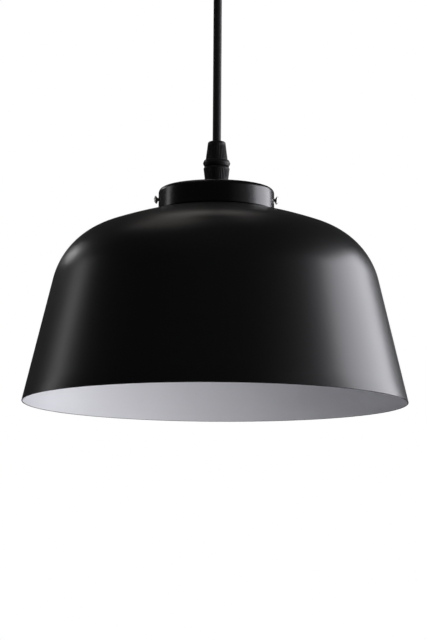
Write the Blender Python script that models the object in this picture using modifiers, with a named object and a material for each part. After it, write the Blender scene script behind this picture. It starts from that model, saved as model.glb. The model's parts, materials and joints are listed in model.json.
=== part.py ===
"""Pendant ceiling light: a spun metal bell shade under a small cup, on a round flex from a ceiling canopy.

Metres, +Z up. The origin is on the ceiling, at the middle of the bracket's top face, and the lamp hangs
straight down from it on the Z axis. Every piece is a solid of its own.
"""

import math

import bmesh
import bpy
from mathutils import Matrix, Vector

# Driving dimensions.
SHEET = 0.0008  # thickness of the spun sheet metal
GAP = 0.0003  # air left between pieces that touch
RIM_RADIUS = 0.150
SHADE_HEIGHT = 0.1507  # rim up to the crown at the fitter's edge
WALL_LEAN = math.radians(13.5)  # straight wall, from the vertical
CROWN_SLOPE_TOP = math.radians(13)
CROWN_SLOPE_EDGE = math.radians(20)
CROWN_RADIUS = 0.375
SHOULDER_RADIUS = 0.060
NECK_RADIUS = 0.0395
NECK_HEIGHT = 0.0145  # from the crown at the fitter's edge up to the neck's lip
LIP_WIDTH = 0.0018
FITTER_RADIUS = 0.0454
FITTER_HEIGHT = 0.0175
CANOPY_RADIUS = 0.050
CANOPY_HEIGHT = 0.025
CANOPY_PLAY = 0.0005  # air between the canopy's edge and the ceiling
CUP_CORNER = 0.0038  # rounding of the fitter's and the canopy's edge
SIDE_HOLE = 0.0021  # radius of the cups' holes for their side screws
CORD_RADIUS = 0.0033
CORE_RADIUS = 0.0011
FREE_CORD = 0.122  # visible flex between the two grips
GRIP_HEIGHT = 0.038
NIPPLE_RADIUS = 0.0050  # M10x1 hollow thread
NIPPLE_BORE = 0.00365
NIPPLE_HOLE = 0.0053
SCREW_TILT = math.radians(8.5)  # the fitter's side screws point outwards and down
BULB_LENGTH = 0.104
BULB_RADIUS = 0.030

# Levels below the ceiling.
CANOPY_FLOOR = -CANOPY_HEIGHT
UPPER_MOUTH = CANOPY_FLOOR - GRIP_HEIGHT
LOWER_MOUTH = UPPER_MOUTH - FREE_CORD
FITTER_TOP = LOWER_MOUTH - GRIP_HEIGHT
SHADE_TOP = FITTER_TOP - FITTER_HEIGHT - 2 * GAP
RIM = SHADE_TOP - SHADE_HEIGHT
SWING_SIDE_Z = UPPER_MOUTH - 0.010  # where the flex bends sideways
SWING_FRONT_Z = SWING_SIDE_Z - 0.020  # where it bends to the front and back
CORD_JOIN_TOP = -0.0400  # flex inside the upper grip
CORD_JOIN_LOW = LOWER_MOUTH - 0.0280  # flex inside the lower grip
FITTER_SCREW_Z = FITTER_TOP - 0.0083
CANOPY_SCREW_Z = -0.0125
CORD_CEILING_END = -0.0148  # the flex's outer sheath ends here, above and below
HOLDER_TOP = FITTER_TOP - 0.0060
CORD_PENDANT_END = HOLDER_TOP - 0.0115
INSERT_TOP = HOLDER_TOP - 0.0180
SHELL_TOP = INSERT_TOP - 0.0125
BULB_TOP = SHELL_TOP - 0.0045

# The two ends of whatever comes in pairs along X.
SIDES = ((-1, "left"), (1, "right"))

# Sides of the round pieces.
LARGE = 36
MEDIUM = 24
SMALL = 16
TINY = 12


def collection(name, cutters=False):
    made = bpy.data.collections.new(name)
    bpy.context.scene.collection.children.link(made)
    made.hide_render = cutters
    return made


for old in list(bpy.data.objects):
    bpy.data.objects.remove(old, do_unlink=True)
LAMP = collection("pendant_light")
CUTTERS = collection("cutters", cutters=True)


def material(name, colour, roughness, metallic=0.0):
    made = bpy.data.materials.new(name)
    made.use_nodes = True
    shader = made.node_tree.nodes["Principled BSDF"]
    shader.inputs["Base Color"].default_value = (*colour, 1.0)
    shader.inputs["Roughness"].default_value = roughness
    shader.inputs["Metallic"].default_value = metallic
    return made


SATIN_BLACK = material("satin_black_enamel", (0.012, 0.012, 0.013), 0.42)
GLOSS_BLACK = material("gloss_black_enamel", (0.010, 0.010, 0.011), 0.14)
BLACK_PLASTIC = material("black_plastic", (0.016, 0.016, 0.017), 0.40)
CORD_BLACK = material("black_cord_sheath", (0.014, 0.014, 0.015), 0.38)
RUBBER = material("black_rubber", (0.02, 0.02, 0.02), 0.75)
ZINC = material("zinc_plated_steel", (0.62, 0.62, 0.60), 0.32, 1.0)
NICKEL = material("bright_nickel", (0.75, 0.74, 0.71), 0.16, 1.0)
BRASS = material("brass", (0.72, 0.52, 0.22), 0.28, 1.0)
CERAMIC = material("white_ceramic", (0.82, 0.80, 0.75), 0.35)
NYLON = material("natural_nylon", (0.80, 0.79, 0.73), 0.50)
WHITE_PLASTIC = material("white_plastic", (0.85, 0.85, 0.84), 0.40)
OPAL = material("opal_diffuser", (0.92, 0.92, 0.90), 0.30)
BLACK_GLASS = material("black_glass_insulator", (0.02, 0.02, 0.025), 0.12)
LIVE_BROWN = material("live_core_brown", (0.20, 0.09, 0.04), 0.45)
NEUTRAL_BLUE = material("neutral_core_blue", (0.03, 0.12, 0.45), 0.45)
EARTH_GREEN = material("earth_core_green", (0.10, 0.38, 0.06), 0.45)


def new_object(name, data, finish, group=LAMP):
    made = bpy.data.objects.new(name, data)
    group.objects.link(made)
    if finish:
        made.data.materials.append(finish)
    return made


def smooth(thing, angle=35):
    thing.data.shade_smooth()
    thing.data.set_sharp_from_angle(angle=math.radians(angle))


def turned(name, outline, finish, steps=MEDIUM, group=LAMP):
    """A turned solid from (radius, height) points. An outline with both ends on the axis stays open there."""
    on_axis = outline[0][0] < 1e-6 and outline[-1][0] < 1e-6
    count = len(outline)
    area = 0.0
    for i in range(count):
        (r0, z0), (r1, z1) = outline[i], outline[(i + 1) % count]
        area += r0 * z1 - r1 * z0
    if area > 0:
        outline = outline[::-1]
    edges = [(i, i + 1) for i in range(count - 1)]
    if not on_axis:
        edges.append((count - 1, 0))
    mesh = bpy.data.meshes.new(name)
    mesh.from_pydata([(r, 0.0, z) for r, z in outline], edges, [])
    made = new_object(name, mesh, finish, group)
    screw = made.modifiers.new("turn", "SCREW")
    screw.steps = steps
    screw.render_steps = steps
    screw.use_merge_vertices = True
    screw.merge_threshold = 0.00001
    screw.use_smooth_shade = True
    return made


def applied(thing):
    """The object with its modifiers made part of its mesh."""
    bpy.context.view_layer.update()
    graph = bpy.context.evaluated_depsgraph_get()
    mesh = bpy.data.meshes.new_from_object(thing.evaluated_get(graph))
    thing.modifiers.clear()
    thing.data = mesh
    return thing


def cutter(name, radius, depth, place, axis="Z", sides=SMALL):
    """A cylinder that makes a hole, centred on place, along an axis named or given as a vector."""
    thing = turned(
        name,
        [(0, depth / 2), (radius, depth / 2), (radius, -depth / 2), (0, -depth / 2)],
        None,
        sides,
        CUTTERS,
    )
    along = {"X": Vector((1, 0, 0)), "Y": Vector((0, 1, 0)), "Z": Vector((0, 0, 1))}
    direction = along[axis] if isinstance(axis, str) else axis
    thing.rotation_euler = direction.to_track_quat("Z", "Y").to_euler()
    thing.location = place
    thing.hide_render = True
    thing.display_type = "WIRE"
    return thing


def box(name, size, place, group):
    bpy.ops.mesh.primitive_cube_add(size=1)
    thing = bpy.context.object
    thing.name = name
    for old_group in list(thing.users_collection):
        old_group.objects.unlink(thing)
    group.objects.link(thing)
    thing.data.transform(Matrix.Diagonal((*size, 1.0)))
    thing.location = place
    return thing


def box_cutter(name, size, place):
    thing = box(name, size, place, CUTTERS)
    thing.hide_render = True
    thing.display_type = "WIRE"
    return thing


def cut(thing, *tools):
    for tool in tools:
        cutting = thing.modifiers.new(tool.name, "BOOLEAN")
        cutting.operation = "DIFFERENCE"
        cutting.solver = "EXACT"
        cutting.object = tool
    return thing


def circle_points(radius, sides, turn=0.0):
    return [
        (
            radius * math.cos(turn + 2 * math.pi * i / sides),
            radius * math.sin(turn + 2 * math.pi * i / sides),
        )
        for i in range(sides)
    ]


def as_mesh(curve_object):
    """A mesh object in the curve object's place, with its loose caps welded on."""
    bpy.context.view_layer.update()
    graph = bpy.context.evaluated_depsgraph_get()
    mesh = bpy.data.meshes.new_from_object(curve_object.evaluated_get(graph))
    welded = bmesh.new()
    welded.from_mesh(mesh)
    bmesh.ops.remove_doubles(welded, verts=welded.verts, dist=0.00001)
    welded.to_mesh(mesh)
    welded.free()
    name, place = curve_object.name, curve_object.matrix_world.copy()
    bpy.data.objects.remove(curve_object, do_unlink=True)
    made = new_object(name, mesh, None)
    made.matrix_world = place
    return made


def plate(name, outlines, thickness, finish):
    """A flat piece: the first outline is its edge and the others are its holes, centred on thickness."""
    curve = bpy.data.curves.new(name, "CURVE")
    curve.dimensions = "2D"
    curve.fill_mode = "BOTH"
    curve.extrude = thickness / 2
    for outline in outlines:
        spline = curve.splines.new("POLY")
        spline.points.add(len(outline) - 1)
        for point, (x, y) in zip(spline.points, outline):
            point.co = (x, y, 0, 1)
        spline.use_cyclic_u = True
    return as_mesh(new_object(name, curve, finish))


def arc(centre, radius, start, end, count):
    """Points on an arc, with its angles in degrees."""
    return [
        (
            centre[0] + radius * math.cos(math.radians(start + (end - start) * i / count)),
            centre[1] + radius * math.sin(math.radians(start + (end - start) * i / count)),
        )
        for i in range(count + 1)
    ]


def smooth_route(route, spacing):
    """Points a fixed distance apart on a Catmull-Rom curve through a wire's own route."""
    ends = [2 * route[0] - route[1], *route, 2 * route[-1] - route[-2]]
    fine = []
    for i in range(1, len(ends) - 2):
        a, b, c, d = ends[i - 1], ends[i], ends[i + 1], ends[i + 2]
        for k in range(24):
            t = k / 24
            squared = (2 * a - 5 * b + 4 * c - d) * t**2
            cubed = (3 * b - a - 3 * c + d) * t**3
            fine.append(0.5 * (2 * b + (c - a) * t + squared + cubed))
    fine.append(ends[-2])
    total = sum((q - p).length for p, q in zip(fine, fine[1:]))
    count = max(2, round(total / spacing))
    made, walked, index = [fine[0]], 0.0, 0
    for k in range(1, count):
        target = total * k / count
        while walked + (fine[index + 1] - fine[index]).length < target:
            walked += (fine[index + 1] - fine[index]).length
            index += 1
        step = fine[index + 1] - fine[index]
        made.append(fine[index] + step * ((target - walked) / step.length))
    made.append(fine[-1])
    return made


def tube(name, points, radius, finish, widths=None):
    """A round cord or core along points, with closed ends. widths scales the radius at each point."""
    curve = bpy.data.curves.new(name, "CURVE")
    curve.dimensions = "3D"
    curve.bevel_depth = radius
    curve.bevel_resolution = 2
    curve.use_fill_caps = True
    spline = curve.splines.new("POLY")
    spline.points.add(len(points) - 1)
    for i, place in enumerate(points):
        spline.points[i].co = (*place, 1)
        spline.points[i].radius = widths[i] if widths else 1.0
    return new_object(name, curve, finish)


# Shade.
def shade_outline():
    """The shade's outer face, from the neck's turned-out lip down to the rim."""
    lip = SHADE_TOP + NECK_HEIGHT
    points = [
        (NECK_RADIUS + LIP_WIDTH, lip),
        (NECK_RADIUS + LIP_WIDTH / 4, lip - LIP_WIDTH / 4),
        (NECK_RADIUS, lip - LIP_WIDTH),
        (NECK_RADIUS, SHADE_TOP + (FITTER_RADIUS - NECK_RADIUS) * math.tan(CROWN_SLOPE_TOP)),
        (FITTER_RADIUS, SHADE_TOP),
    ]
    r, z = points[-1]
    turns = (
        (CROWN_RADIUS, CROWN_SLOPE_TOP, CROWN_SLOPE_EDGE, 3),
        (SHOULDER_RADIUS, CROWN_SLOPE_EDGE, math.pi / 2 - WALL_LEAN, 7),
    )
    for radius, start, end, count in turns:
        for i in range(1, count + 1):
            a = start + (end - start) * (i - 1) / count
            b = start + (end - start) * i / count
            r += radius * (math.sin(b) - math.sin(a))
            z -= radius * (math.cos(a) - math.cos(b))
            points.append((r, z))
    points.append((RIM_RADIUS, RIM))
    return points


def make_shade():
    outline = shade_outline()
    mesh = bpy.data.meshes.new("shade")
    edges = [(i, i + 1) for i in range(len(outline) - 1)]
    mesh.from_pydata([(r, 0.0, z) for r, z in outline], edges, [])
    shade = new_object("shade", mesh, SATIN_BLACK)
    screw = shade.modifiers.new("spin", "SCREW")
    screw.steps = LARGE
    screw.render_steps = LARGE
    screw.use_merge_vertices = True
    screw.merge_threshold = 0.00001
    screw.use_smooth_shade = True
    wall = shade.modifiers.new("sheet", "SOLIDIFY")
    wall.thickness = SHEET
    wall.offset = -1
    smooth(applied(shade))


# Cups: the fitter on the shade and the canopy on the ceiling.
def cup_outline(radius, top, bottom, hole, open_down=True):
    """A drawn cup with a rounded edge and a centre hole. Without open_down, its mouth is at the top."""
    inner = CUP_CORNER - SHEET
    outer_corner = arc((radius - CUP_CORNER, top - CUP_CORNER), CUP_CORNER, 90, 0, 3)
    inner_corner = arc((radius - CUP_CORNER, top - CUP_CORNER), inner, 0, 90, 3)
    outline = [(hole, top), *outer_corner, (radius, bottom)]
    outline += [(radius - SHEET, bottom), *inner_corner, (hole, top - SHEET)]
    if open_down:
        return outline
    return [(r, top + bottom - z) for r, z in outline]


def side_direction(side, tilt):
    return Vector((side * math.cos(tilt), 0, -math.sin(tilt)))


def make_fitter():
    outline = cup_outline(FITTER_RADIUS, FITTER_TOP, FITTER_TOP - FITTER_HEIGHT, NIPPLE_HOLE)
    cup = turned("fitter_cup", outline, GLOSS_BLACK, LARGE)
    for side, word in SIDES:
        place = (side * FITTER_RADIUS, 0, FITTER_SCREW_Z)
        direction = side_direction(side, SCREW_TILT)
        cut(cup, cutter("fitter_hole_" + word, SIDE_HOLE, 0.008, place, direction, TINY))
    smooth(applied(cup))


def make_canopy():
    outline = cup_outline(CANOPY_RADIUS, -CANOPY_PLAY, CANOPY_FLOOR, NIPPLE_HOLE, open_down=False)
    cup = turned("canopy", outline, GLOSS_BLACK, LARGE)
    for side, word in SIDES:
        place = (side * CANOPY_RADIUS, 0, CANOPY_SCREW_Z)
        cut(cup, cutter("canopy_hole_" + word, SIDE_HOLE, 0.006, place, "X", TINY))
    smooth(applied(cup))


SIDE_HEAD = ((0, 0.0036), (0.0018, 0.0033), (0.0031, 0.0025), (0.0033, 0.0019))
SIDE_SHANK = 0.0013
NUT_HALF = 0.0030
NUT_BORE = 0.0017
NUT_THICKNESS = 0.0014
NUT_DEPTH = 0.0026  # from the cup's outer face in to the nut's middle


def side_screw(name, place, direction, length):
    """A pan-head screw with a coned underside. Its Z axis points out of the wall, from the wall's face."""
    shank = [(SIDE_SHANK, 2 * GAP), (SIDE_SHANK, -length), (0, -length - GAP)]
    screw = turned(name, [*SIDE_HEAD, *shank], NICKEL, TINY)
    screw.location = place
    screw.rotation_euler = direction.to_track_quat("Z", "Y").to_euler()
    smooth(applied(screw))


def make_side_screws():
    square = [(-NUT_HALF, -NUT_HALF), (NUT_HALF, -NUT_HALF), (NUT_HALF, NUT_HALF), (-NUT_HALF, NUT_HALF)]
    for side, word in SIDES:
        direction = side_direction(side, SCREW_TILT)
        fitter_place = Vector((side * FITTER_RADIUS, 0, FITTER_SCREW_Z))
        side_screw("fitter_screw_" + word, fitter_place, direction, 0.0050)
        canopy_place = Vector((side * CANOPY_RADIUS, 0, CANOPY_SCREW_Z))
        side_screw("canopy_screw_" + word, canopy_place, side_direction(side, 0), 0.0052)
        nut = plate("fitter_nut_" + word, [square, circle_points(NUT_BORE, TINY)], NUT_THICKNESS, ZINC)
        nut.location = fitter_place - direction * NUT_DEPTH
        nut.rotation_euler = direction.to_track_quat("Z", "Y").to_euler()


# Cord grips: a ribbed body, a rubber collet and a ribbed cap nut. Heights run from the cup's face up.
GRIP_BODY = (
    (0.0086, 0.0003),
    (0.0092, 0.0012),
    (0.0094, 0.0087),
    (0.01025, 0.0156),
    (0.0095, 0.0176),
    (0.0062, 0.0176),
    (0.0062, 0.0278),
    (0.0040, 0.0278),
    (0.0040, 0.0150),
    (0.0053, 0.0140),
    (0.0053, 0.0003),
)
GRIP_CAP = (
    (0.0093, 0.0180),
    (0.0103, 0.0190),
    (0.01055, 0.0204),
    (0.0101, 0.0220),
    (0.0087, 0.0230),
    (0.0080, 0.0285),
    (0.0072, 0.0350),
    (0.0064, 0.0374),
    (0.0050, 0.0380),
    (0.0040, 0.0372),
    (0.0040, 0.0358),
    (0.0067, 0.0336),
    (0.0067, 0.0180),
)
COLLET = (
    (0.0060, 0.0282),
    (0.0063, 0.0290),
    (0.0063, 0.0332),
    (0.0042, 0.0350),
    (0.0037, 0.0350),
    (0.0037, 0.0282),
)


def make_grip(prefix, face, way):
    """way is 1 for a grip that stands on the cup and -1 for one that hangs under the canopy."""
    for name, outline, finish, steps in (
        ("grip_body", GRIP_BODY, BLACK_PLASTIC, MEDIUM),
        ("grip_cap", GRIP_CAP, BLACK_PLASTIC, MEDIUM),
        ("collet", COLLET, RUBBER, SMALL),
    ):
        placed = [(r, face + way * height) for r, height in outline]
        smooth(applied(turned(prefix + "_" + name, placed, finish, steps)))


WASHER_RADIUS = 0.0085
WASHER_THICKNESS = 0.0008
LOCK_NUT_RADIUS = 0.0081  # over its six corners
LOCK_NUT_THICKNESS = 0.0026


def make_nipple_set(prefix, bottom, top, face, way):
    """The hollow nipple, and the washer and nut inside the cup. way is the sign of the way into the cup."""
    tube_wall = [(NIPPLE_BORE, top), (NIPPLE_RADIUS, top), (NIPPLE_RADIUS, bottom), (NIPPLE_BORE, bottom)]
    smooth(applied(turned(prefix + "_nipple", tube_wall, ZINC, SMALL)))
    star = plate(
        prefix + "_star_washer",
        [circle_points(WASHER_RADIUS, SMALL), circle_points(NIPPLE_HOLE, SMALL)],
        WASHER_THICKNESS,
        ZINC,
    )
    star.location.z = face + way * (SHEET + GAP + WASHER_THICKNESS / 2)
    lock = plate(
        prefix + "_lock_nut",
        [circle_points(LOCK_NUT_RADIUS, 6), circle_points(NIPPLE_HOLE, SMALL)],
        LOCK_NUT_THICKNESS,
        ZINC,
    )
    lock.location.z = star.location.z + way * (WASHER_THICKNESS / 2 + GAP + LOCK_NUT_THICKNESS / 2)


# Ceiling side: bracket, terminal block and cores.
BRACKET_REACH = 0.0475
BRACKET_DROP = 0.0175
BRACKET_SHEET = 0.0015
BRACKET_WIDTH = 0.018
BRACKET_FOLD = 0.0022
BRACKET_HOLE = 0.0017
SLOT_SIZE = (0.012, 0.0042, 0.010)
SLOT_X = 0.029
EARTH_X = -0.0150


def make_bracket():
    """A strap folded down at both ends, with two slots for ceiling screws."""
    centre = BRACKET_REACH - BRACKET_FOLD
    inner = BRACKET_FOLD - BRACKET_SHEET
    outline = [
        (-BRACKET_REACH, -BRACKET_DROP),
        *arc((-centre, -BRACKET_FOLD), BRACKET_FOLD, 180, 90, 3),
        *arc((centre, -BRACKET_FOLD), BRACKET_FOLD, 90, 0, 3),
        (BRACKET_REACH, -BRACKET_DROP),
        (BRACKET_REACH - BRACKET_SHEET, -BRACKET_DROP),
        *arc((centre, -BRACKET_FOLD), inner, 0, 90, 2),
        *arc((-centre, -BRACKET_FOLD), inner, 90, 180, 2),
        (-BRACKET_REACH + BRACKET_SHEET, -BRACKET_DROP),
    ]
    bracket = plate("ceiling_bracket", [outline], BRACKET_WIDTH, ZINC)
    bracket.data.transform(Matrix.Rotation(math.pi / 2, 4, "X"))
    for side, word in SIDES:
        ear = (side * BRACKET_REACH, 0, CANOPY_SCREW_Z)
        cut(bracket, box_cutter("slot_" + word, SLOT_SIZE, (side * SLOT_X, 0, 0)))
        cut(bracket, cutter("ear_" + word, BRACKET_HOLE, 0.006, ear, "X", TINY))
    cut(bracket, cutter("earth_hole", BRACKET_HOLE, 0.006, (EARTH_X, 0, 0), "Z", TINY))
    applied(bracket)


def small_screw(name, place, head, shank, finish=ZINC, direction=(0, 0, 1)):
    """A cheese-head screw whose head is at place and whose head radius, height and shank are given."""
    (head_radius, head_height), (shank_radius, length) = head, shank
    outline = [
        (0, head_height),
        (head_radius * 0.8, head_height),
        (head_radius, head_height * 0.7),
        (head_radius, 0),
        (shank_radius, 0),
        (shank_radius, -length),
        (0, -length),
    ]
    screw = turned(name, outline, finish, TINY)
    screw.location = place
    screw.rotation_euler = Vector(direction).to_track_quat("Z", "Y").to_euler()
    smooth(applied(screw))


BLOCK_CENTRE = Vector((0.0262, 0, -0.0080))
BLOCK_SIZE = (0.0160, 0.0160, 0.0106)
POLE_PITCH = 0.0052
POLE_BORE = 0.0015
WELL_RADIUS = 0.0014
WELL_X = 0.0048
PIN = ((0, 0.0036), (0.0011, 0.0036), (0.0011, 0.0006), (0, 0.0006))


def make_terminal_block():
    block = box("terminal_block", BLOCK_SIZE, BLOCK_CENTRE, LAMP)
    block.data.materials.append(NYLON)
    for pole in (-1, 0, 1):
        y = pole * POLE_PITCH
        cut(block, cutter(f"entry_{pole}", POLE_BORE, 0.03, BLOCK_CENTRE + Vector((0, y, 0)), "X", TINY))
        for row in (-1, 1):
            number = (pole + 1) * 2 + (row + 3) // 2
            place = BLOCK_CENTRE + Vector((row * WELL_X, y, -BLOCK_SIZE[2] / 2))
            cut(block, cutter(f"well_{number}", WELL_RADIUS, 0.0080, place, "Z", TINY))
            pin = turned(f"terminal_screw_{number}", list(PIN), ZINC, TINY)
            pin.location = place
            smooth(applied(pin))
    applied(block)


def make_ceiling_cores():
    """Each core leaves the flex's end, bends over and enters its own pole of the block."""
    start = CORD_CEILING_END + GAP
    for name, pole, angle, finish in (
        ("core_live_top", 1, 60, LIVE_BROWN),
        ("core_neutral_top", 0, 180, NEUTRAL_BLUE),
        ("core_earth_top", -1, -60, EARTH_GREEN),
    ):
        x = 0.0017 * math.cos(math.radians(angle))
        y = 0.0017 * math.sin(math.radians(angle))
        z = BLOCK_CENTRE.z
        route = [
            Vector((x, y, start)),
            Vector((x, y, start + 0.0028)),
            Vector((x + 0.0040, (y + pole * POLE_PITCH) / 2, z + 0.0006)),
            Vector((0.0120, pole * POLE_PITCH, z)),
            Vector((BLOCK_CENTRE.x - BLOCK_SIZE[0] / 2 + 0.0020, pole * POLE_PITCH, z)),
        ]
        tube(name, smooth_route(route, 0.0022), CORE_RADIUS, finish)


# The flex. Its two bends are pivots, and the solid below each pivot has a rounded end that turns on it.
def rounded_end(centre):
    """Heights and width factors of a half ball on the flex, from its tip down to its middle."""
    angles = [math.radians(a) for a in (80, 60, 40, 20, 0)]
    return [(centre + CORD_RADIUS * math.sin(a), math.cos(a)) for a in angles]


def straight_cord(name, top, bottom, pivot=False):
    levels = rounded_end(top) if pivot else [(top, 1.0)]
    length = levels[-1][0] - bottom
    count = max(1, round(length / (5 * CORD_RADIUS)))
    levels += [(levels[-1][0] - length * (i + 1) / count, 1.0) for i in range(count)]
    tube(name, [(0, 0, z) for z, _ in levels], CORD_RADIUS, CORD_BLACK, [w for _, w in levels])


def make_cord():
    straight_cord("cord_ceiling_end", CORD_CEILING_END, CORD_JOIN_TOP + GAP)
    straight_cord("cord_top", CORD_JOIN_TOP, SWING_SIDE_Z + CORD_RADIUS + GAP)
    straight_cord("cord_bend", SWING_SIDE_Z, SWING_FRONT_Z + CORD_RADIUS + GAP, pivot=True)
    straight_cord("cord", SWING_FRONT_Z, CORD_JOIN_LOW + GAP, pivot=True)
    straight_cord("cord_pendant_end", CORD_JOIN_LOW, CORD_PENDANT_END)


# Lampholder. Each outline is (radius, depth below the piece's own top).
HOLDER_CAP = (
    (NIPPLE_HOLE, 0),
    (0.0085, 0),
    (0.0090, 0.0055),
    (0.0140, 0.0085),
    (0.0182, 0.0130),
    (0.0195, 0.0190),
    (0.0195, 0.0255),
    (0.0182, 0.0255),
    (0.0182, 0.0190),
    (0.0170, 0.0138),
    (0.0130, 0.0100),
    (NIPPLE_HOLE, 0.0085),
)
HOLDER_SKIRT = (
    (0.0184, 0),
    (0.0195, 0),
    (0.0195, 0.0240),
    (0.0208, 0.0262),
    (0.0208, 0.0300),
    (0.0168, 0.0300),
    (0.0168, 0.0010),
    (0.0184, 0.0010),
)
HOLDER_INSERT = (
    (0, 0),
    (0.0165, 0),
    (0.0165, 0.0058),
    (0.0179, 0.0058),
    (0.0179, 0.0075),
    (0.0165, 0.0075),
    (0.0165, 0.0100),
    (0.0120, 0.0118),
    (0, 0.0118),
)
SCREW_SHELL = ((0.0138, 0), (0.0143, 0), (0.0143, 0.0235), (0.0138, 0.0235))
SKIRT_TOP = HOLDER_TOP - HOLDER_CAP[6][1] - GAP
TERMINAL_X = 0.0098
TERMINAL_DEPTH = 0.0045
TERMINAL_WELL = 0.0024
EARTH_DEPTH = 0.0158  # the cap's earth screw, below the cap's top
EARTH_Y = 0.0160
TONGUE_WIDTH = 0.004
TONGUE_SHEET = 0.0005
TONGUE_UNDERSIDE = ((-0.0065, -0.0008), (-0.0032, -0.0008), (0.0003, -0.0039), (0.0030, -0.0039))


def below(top, outline):
    return [(r, top - depth) for r, depth in outline]


def make_holder():
    smooth(applied(turned("holder_cap", below(HOLDER_TOP, HOLDER_CAP), BLACK_PLASTIC)))
    smooth(applied(turned("holder_skirt", below(SKIRT_TOP, HOLDER_SKIRT), BLACK_PLASTIC)))
    insert = turned("holder_insert", below(INSERT_TOP, HOLDER_INSERT), CERAMIC)
    for side, word in ((-1, "neutral"), (1, "live")):
        place = (side * TERMINAL_X, 0, INSERT_TOP)
        cut(insert, cutter("well_" + word, TERMINAL_WELL, 0.012, place, "Z", TINY))
    smooth(applied(insert))
    for side, word in ((-1, "neutral"), (1, "live")):
        place = (side * TERMINAL_X, 0, INSERT_TOP - TERMINAL_DEPTH)
        small_screw("holder_terminal_" + word, place, (0.0021, 0.0014), (0.0013, 0.0010), BRASS)
    smooth(applied(turned("screw_shell", below(SHELL_TOP, SCREW_SHELL), BRASS)))
    earth_place = (0, EARTH_Y, HOLDER_TOP - EARTH_DEPTH)
    small_screw("holder_earth_screw", earth_place, (0.0016, 0.0010), (0.0010, 0.0006), BRASS, (0, -1, 0))
    upper_side = [(x + 0.0002, z + TONGUE_SHEET) for x, z in reversed(TONGUE_UNDERSIDE[1:3])]
    ends = [(x, z + TONGUE_SHEET) for x, z in (TONGUE_UNDERSIDE[3], TONGUE_UNDERSIDE[0])]
    tongue = plate(
        "centre_contact",
        [[*TONGUE_UNDERSIDE, ends[0], *upper_side, ends[1]]],
        TONGUE_WIDTH,
        BRASS,
    )
    place = Matrix.Translation((0, 0, SHELL_TOP + 0.0007))
    tongue.data.transform(place @ Matrix.Rotation(math.pi / 2, 4, "X"))


def make_holder_cores():
    """Live and neutral bend out to the insert's wells, and earth to the screw in the cap's wall."""
    start = CORD_PENDANT_END - GAP
    for name, angle, finish, target in (
        ("core_live", 0, LIVE_BROWN, Vector((TERMINAL_X, 0, INSERT_TOP - 0.0025))),
        ("core_neutral", 180, NEUTRAL_BLUE, Vector((-TERMINAL_X, 0, INSERT_TOP - 0.0025))),
        ("core_earth", 90, EARTH_GREEN, Vector((0, 0.0135, HOLDER_TOP - EARTH_DEPTH))),
    ):
        out = Vector((math.cos(math.radians(angle)), math.sin(math.radians(angle)), 0))
        route = [out * 0.0018 + Vector((0, 0, start)), out * 0.0020 + Vector((0, 0, start - 0.0016))]
        if name == "core_earth":
            route += [out * 0.0070 + Vector((0, 0, start - 0.0042)), target]
        else:
            route.append(out * 0.0060 + Vector((0, 0, start - 0.0035)))
            route += [out * 0.0092 + Vector((0, 0, start - 0.0052)), target]
        tube(name, smooth_route(route, 0.0020), CORE_RADIUS, finish)


# Bulb. Each outline is (radius, depth below the bulb's contact).
BULB_CONTACT = ((0, 0), (0.0032, 0.0002), (0.0046, 0.0012), (0.0046, 0.0016), (0, 0.0016))
BULB_INSULATOR = ((0, 0.0019), (0.0055, 0.0019), (0.0100, 0.0046), (0.0100, 0.0052), (0, 0.0052))
BULB_CAP = ((0, 0.0055), (0.0105, 0.0055), (0.0130, 0.0080), (0.0130, 0.0240), (0.0135, 0.0265), (0, 0.0265))
BULB_HOUSING = (
    (0, 0.0268),
    (0.0140, 0.0268),
    (0.0150, 0.0310),
    (0.0185, 0.0400),
    (0.0250, 0.0530),
    (0.0285, 0.0620),
    (0.0290, 0.0660),
    (0, 0.0660),
)
GLOBE_TOP = 0.0663


def make_bulb():
    for name, outline, finish, steps in (
        ("bulb_contact", BULB_CONTACT, ZINC, SMALL),
        ("bulb_insulator", BULB_INSULATOR, BLACK_GLASS, SMALL),
        ("bulb_screw_cap", BULB_CAP, NICKEL, MEDIUM),
        ("bulb_housing", BULB_HOUSING, WHITE_PLASTIC, MEDIUM),
    ):
        smooth(applied(turned(name, below(BULB_TOP, outline), finish, steps)))
    equator = BULB_TOP - BULB_LENGTH + BULB_RADIUS
    start = math.degrees(math.asin((BULB_TOP - GLOBE_TOP - equator) / BULB_RADIUS))
    dome = arc((0, equator), BULB_RADIUS, start, -90, 10)
    globe = [(0, BULB_TOP - GLOBE_TOP), *dome[:-1], (0, BULB_TOP - BULB_LENGTH)]
    smooth(applied(turned("bulb_globe", globe, OPAL)))


make_bracket()
small_screw(
    "bracket_earth_screw",
    (EARTH_X, 0, -BRACKET_SHEET - GAP),
    (0.0032, 0.0018),
    (0.0014, 0.0012),
    BRASS,
    (0, 0, -1),
)
make_canopy()
make_terminal_block()
make_nipple_set("upper", CANOPY_FLOOR - 0.0130, CANOPY_FLOOR + 0.0085, CANOPY_FLOOR, 1)
make_grip("upper", CANOPY_FLOOR, -1)
make_cord()
make_ceiling_cores()
make_grip("lower", FITTER_TOP, 1)
make_nipple_set("lower", HOLDER_TOP - 0.0080, FITTER_TOP + 0.0130, FITTER_TOP, -1)
make_fitter()
make_side_screws()
make_shade()
make_holder()
make_holder_cores()
make_bulb()
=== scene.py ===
"""The looks of the pendant ceiling light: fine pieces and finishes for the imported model, in a studio."""

import json
import math

import bmesh
import bpy
from mathutils import Matrix, Vector


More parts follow.
